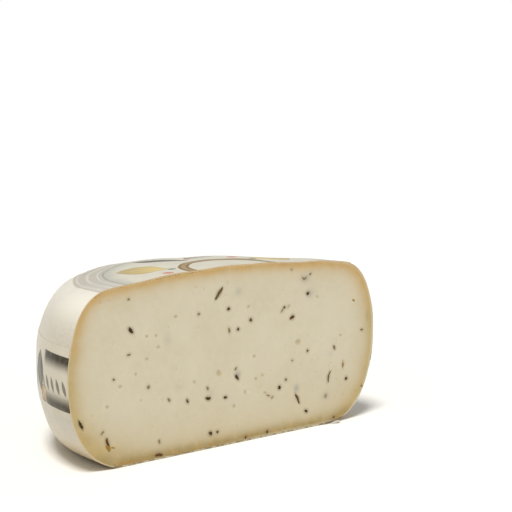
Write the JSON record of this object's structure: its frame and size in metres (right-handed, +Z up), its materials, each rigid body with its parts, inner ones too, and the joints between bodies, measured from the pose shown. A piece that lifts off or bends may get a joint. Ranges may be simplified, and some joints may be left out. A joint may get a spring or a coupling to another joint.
{
  "type": "truffle goat cheese",
  "caption": "Half a wheel of goat cheese flecked with truffle, standing on its base, with a flat cut face, a pale plastic coat and plain printed films.",
  "frame": {"origin": "centre of the base of the half wheel's bounding box, on the surface it stands on", "axes": "+X along the cut face to the right as it is looked at, -Y out of the cut face, +Z up"},
  "size_m": [0.2408, 0.1208, 0.1127],
  "materials": {
    "paste": "smooth, slightly moist pale cream cheese paste with black truffle flecks, ageing to orange tan at the rind",
    "coat": "thin off-white plastic cheese coating, softly glossy with faint wrinkles",
    "printed_film": "thin satin label film printed in greys, white and tan"
  },
  "bodies": {
    "root": {"cheese": "paste", "coating": "coat", "top_film": "printed_film", "side_film": "printed_film", "base_film": "printed_film"}
  },
  "joints": []
}
